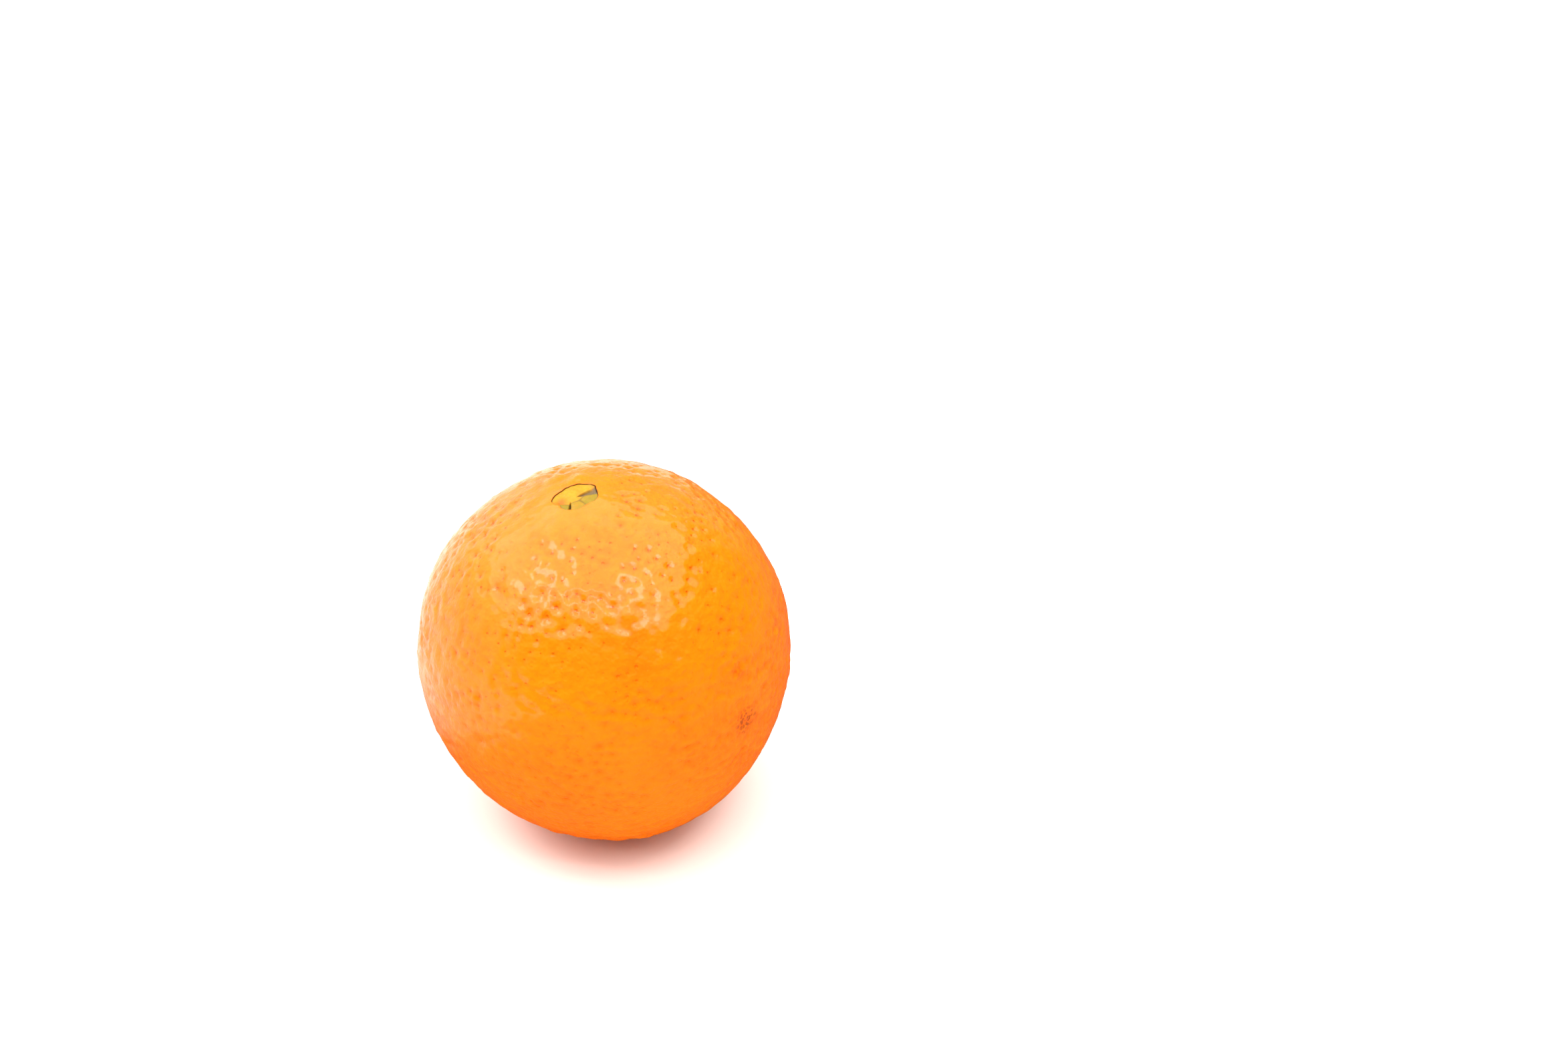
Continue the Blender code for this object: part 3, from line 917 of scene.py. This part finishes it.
studio = {
    "floorSize": 2.2,
    "floorColour": (0.86, 0.842, 0.785),
    "floorTone": {"length": 120 * mm, "range": (0.3, 0.7)},
    "floorShade": 0.985,  # how much darker its darker patches are
    "floorShader": {"Roughness": 0.85, "Specular IOR Level": 0.2},
    # painted dark reflection: the floor's colour for glossy rays only
    "reflectedShadeColour": (0.04, 0.04, 0.04),  # how the floor is reflected, but for the part towards brightHeading
    "brightHeading": (-0.93, 0.37, 0),
    "brightFrom": (0.040, 0.085),
    "skyStrength": 0.42,
    "shades": [  # towards, degrees to where the change is full and none, share of the room's light there
        ((0.10, -0.95, 0.30), 40, 72, 0.06),
        ((0.95, -0.10, -0.10), 40, 75, 0.04),
        ((-0.85, 0.35, 0.00), 30, 62, 3.8),
        ((0.00, 1.00, 0.25), 25, 65, 1.7),
    ],
    "softboxPlace": (-0.40, 0.13, 1.20),
    "softboxSize": (3.4, 2.4),
    "softboxPower": 70.0,
    "lampDistance": 0.95,
    "lampSize": 0.27,
    "lampPower": 2.1,
    "lampHeadings": [(-0.524, -0.087, 0.848), (0.386, -0.306, 0.870)],
    "stripHeading": (-0.10, -0.47, 0.88),
    "stripSize": (1.30, 0.05),
    "stripPower": 2.1,
}


def makeFloor():
    # one flat square, nearly even in colour, but painted near black where it is seen in reflections, except
    # towards brightHeading
    mesh = bpy.data.meshes.new("floor")
    half = studio["floorSize"] / 2
    corners = [(-half, -half, 0), (half, -half, 0), (half, half, 0), (-half, half, 0)]
    mesh.from_pydata(corners, [], [(0, 1, 2, 3)])
    floor = bpy.data.objects.new("floor", mesh)
    bpy.context.scene.collection.objects.link(floor)
    material, tree, shader, place = startMaterial("pale_table")
    colour = studio["floorColour"]
    shaded = tuple(studio["floorShade"] * part for part in colour)
    colour = blendColours(tree, patches(tree, place, studio["floorTone"]), colour, shaded)
    # painted dark reflection: near black to glossy rays, fading out towards brightHeading
    dim = fade(tree, alongHeading(tree, place, studio["brightHeading"]), *studio["brightFrom"], 1, 0)
    dim = calc(tree, "MULTIPLY", dim, addNode(tree, "LightPath").outputs["Is Glossy Ray"])
    plug(tree, shader.inputs["Base Color"], blendColours(tree, dim, colour, studio["reflectedShadeColour"]))
    setShader(shader, studio["floorShader"])
    mesh.materials.append(material)


def addLamp(name, place, size, power, target):
    # a rectangle of even light, facing its target
    light = bpy.data.lights.new(name, "AREA")
    light.shape = "RECTANGLE"
    light.size, light.size_y = size
    light.energy = power
    lamp = bpy.data.objects.new(name, light)
    bpy.context.scene.collection.objects.link(lamp)
    lamp.location = place
    lamp.rotation_euler = (Vector(target) - Vector(place)).to_track_quat("-Z", "Y").to_euler()
    lamp.visible_camera = False


def makeSky():
    # an even pale room, changed towards the shades' headings in reflections, and white where seen directly
    world = bpy.data.worlds.new("studio")
    world.use_nodes = True
    bpy.context.scene.world = world
    tree = world.node_tree
    outward = addNode(tree, "TexCoord").outputs["Generated"]
    strength = studio["skyStrength"]
    light = addNode(tree, "LightPath").outputs
    for heading, full, none, share in studio["shades"]:
        cosines = math.cos(math.radians(none)), math.cos(math.radians(full))
        shade = fade(tree, alongHeading(tree, outward, heading), *cosines, 0, share - 1)
        shade = calc(tree, "MULTIPLY_ADD", shade, light["Is Glossy Ray"], 1)
        strength = calc(tree, "MULTIPLY", shade, strength)
    strength = calc(tree, "MAXIMUM", strength, light["Is Camera Ray"])
    plug(tree, tree.nodes["Background"].inputs["Strength"], strength)
    tree.nodes["Background"].inputs["Color"].default_value = (1, 1, 1, 1)


camera = {
    "elevation": 36.0,  # degrees above the table
    "lens": 64.1,  # mm, as the sensor is
    "distance": 571 * mm,
    "right": 36.4 * mm,  # the view's middle, beside and above the fruit's own middle
    "up": 26.0 * mm,
    "sensor": 36,
    "clipStart": 10 * mm,
}


def makeCamera():
    # looks along +Y and down by its elevation
    elevation = math.radians(camera["elevation"])
    forward = Vector((0, math.cos(elevation), -math.sin(elevation)))
    up = Vector((0, math.sin(elevation), math.cos(elevation)))
    aim = Vector(bodyCentre) + Vector((camera["right"], 0, 0)) + up * camera["up"]
    view = bpy.data.cameras.new("view")
    view.lens = camera["lens"]
    view.sensor_width = camera["sensor"]
    view.clip_start = camera["clipStart"]
    viewer = bpy.data.objects.new("view", view)
    bpy.context.scene.collection.objects.link(viewer)
    viewer.location = aim - forward * camera["distance"]
    viewer.rotation_euler = forward.to_track_quat("-Z", "Y").to_euler()
    bpy.context.scene.camera = viewer


makeFloor()
makeSky()
place = studio["softboxPlace"]
addLamp("softbox", place, studio["softboxSize"], studio["softboxPower"], (place[0], place[1], 0))
for index, heading in enumerate(studio["lampHeadings"]):
    spot = bodyCentre + np.array(heading) * studio["lampDistance"]
    addLamp(f"lamp_{index}", tuple(spot), (studio["lampSize"],) * 2, studio["lampPower"], tuple(bodyCentre))
strip = bodyCentre + np.array(studio["stripHeading"]) * studio["lampDistance"]
addLamp("strip", tuple(strip), studio["stripSize"], studio["stripPower"], tuple(bodyCentre))
makeCamera()
bpy.context.scene.view_settings.view_transform = "Standard"
print("studio ready")
